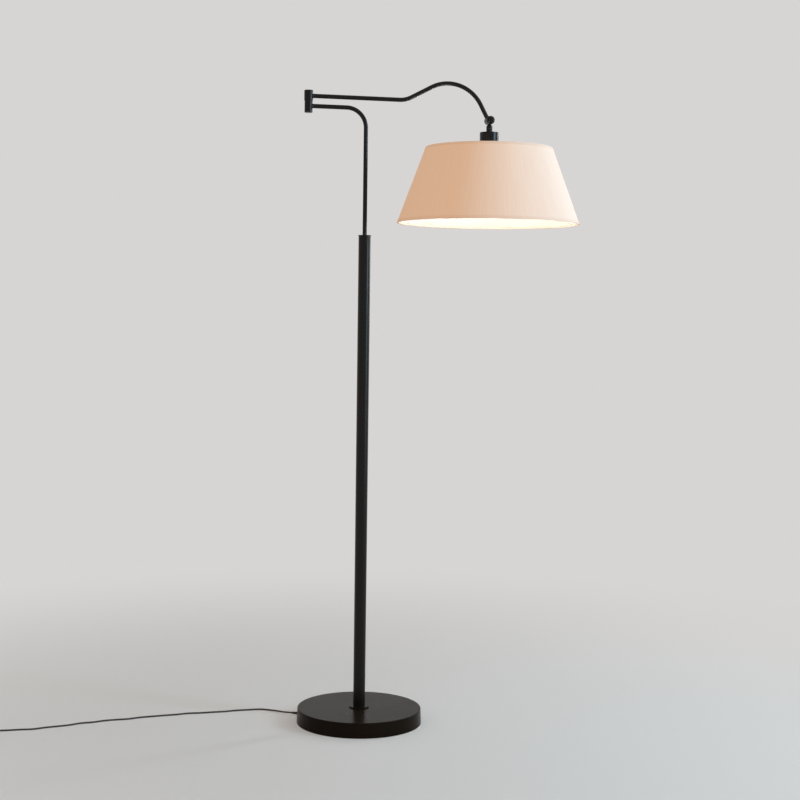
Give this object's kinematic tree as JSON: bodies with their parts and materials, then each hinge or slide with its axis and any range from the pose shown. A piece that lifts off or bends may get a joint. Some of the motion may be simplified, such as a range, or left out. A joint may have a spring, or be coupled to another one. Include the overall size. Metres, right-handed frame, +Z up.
{
  "type": "swing arm floor lamp",
  "caption": "Floor lamp with a round weighted base, a straight pole, a height-adjustable riser, a folding swing arm with an arched end, and a wide tapered linen drum shade that tilts",
  "frame": {"origin": "centre of the base's underside, on the axis of the pole", "axes": "+Z up, +X along the upper arm toward the shade, +Y to the back, with the tilt knob at the front"},
  "size_m": [1.4002, 0.4288, 1.502],
  "materials": {
    "bronze": "satin bronze-black paint",
    "steel": "zinc plated steel",
    "iron": "raw casting",
    "felt": "black felt",
    "nylon": "black nylon",
    "cord": "soft dark brown jacket",
    "moulding": "soft dark brown moulding",
    "brass": "plain brass",
    "phenolic": "black phenolic moulding",
    "linen": "cream linen with faint upright slubs",
    "liner": "smooth white styrene sheet",
    "frosted_glass": "frosted white glass"
  },
  "bodies": {
    "stand": {"base_cover": "bronze", "base_weight": "iron", "base_plate": "steel", "base_pad": "felt", "foot_collar": "bronze", "foot_nipple": "steel", "foot_washer": "steel", "foot_nut": "steel", "pole_plug": "steel", "pole_tube": "bronze", "pole_cap": "bronze", "pole_cord": "cord", "strain_relief": "moulding", "cord_lead": "cord", "cord_coil": "cord", "cord_tie": "nylon", "cord_tail": "cord", "plug_body": "moulding", "narrow_plug_blade": "brass", "wide_plug_blade": "brass"},
    "bush": {"riser_bush": "nylon", "bush_clip": "steel"},
    "riser": {"riser_tube": "bronze", "riser_guide": "nylon", "riser_stop": "steel", "lower_knuckle": "bronze", "lower_cap": "bronze", "pivot_sleeve": "steel", "pivot_nut": "steel", "spring_washer": "steel", "knuckle_washer": "nylon", "riser_cord": "cord"},
    "arm": {"upper_knuckle": "bronze", "upper_cap": "bronze", "upper_arm": "bronze", "arm_disc": "bronze", "tilt_washer": "nylon", "tilt_screw": "steel", "tilt_nut": "bronze", "arm_cord": "cord"},
    "head": {"shade_disc": "bronze", "socket_cap": "bronze", "socket_nut": "steel", "socket_body": "phenolic", "screw_shell": "brass", "centre_contact": "brass", "switch_bushing": "brass", "ring_nut": "phenolic", "shade_spider": "steel", "top_ring": "steel", "bottom_ring": "steel", "shade_liner": "liner", "shade_cover": "linen", "top_hem": "linen", "bottom_hem": "linen", "bulb_glass": "frosted_glass", "bulb_base": "brass", "head_cord": "cord"},
    "knob": {"tilt_knob": "bronze"},
    "switch": {"switch_knob": "phenolic"}
  },
  "joints": [
    {"name": "riser_swivel", "type": "hinge", "parent": "stand", "child": "bush", "pos_m": [0, 0, 1.1295], "axis": [0, 0, 1], "range_deg": [-170, 170]},
    {"name": "riser_lift", "type": "slide", "parent": "bush", "child": "riser", "axis": [0, 0, 1], "range_m": [-0.23, 0.07]},
    {"name": "arm_swing", "type": "hinge", "parent": "riser", "child": "arm", "pos_m": [-0.13407, 0, 1.443], "axis": [0, 0, 1], "range_deg": [-170, 170]},
    {"name": "shade_tilt", "type": "hinge", "parent": "arm", "child": "head", "pos_m": [0.2925, -0.0046, 1.4143], "axis": [0, 1, 0], "range_deg": [-75, 12]},
    {"name": "tilt_knob_turn", "type": "hinge", "parent": "arm", "child": "knob", "pos_m": [0.2925, -0.019, 1.4143], "axis": [0, 1, 0], "range_deg": [0, 180]},
    {"name": "switch_turn", "type": "hinge", "parent": "head", "child": "switch", "pos_m": [0.3225, -0.0092, 1.3402], "axis": [1, 0, 0], "continuous": true}
  ]
}
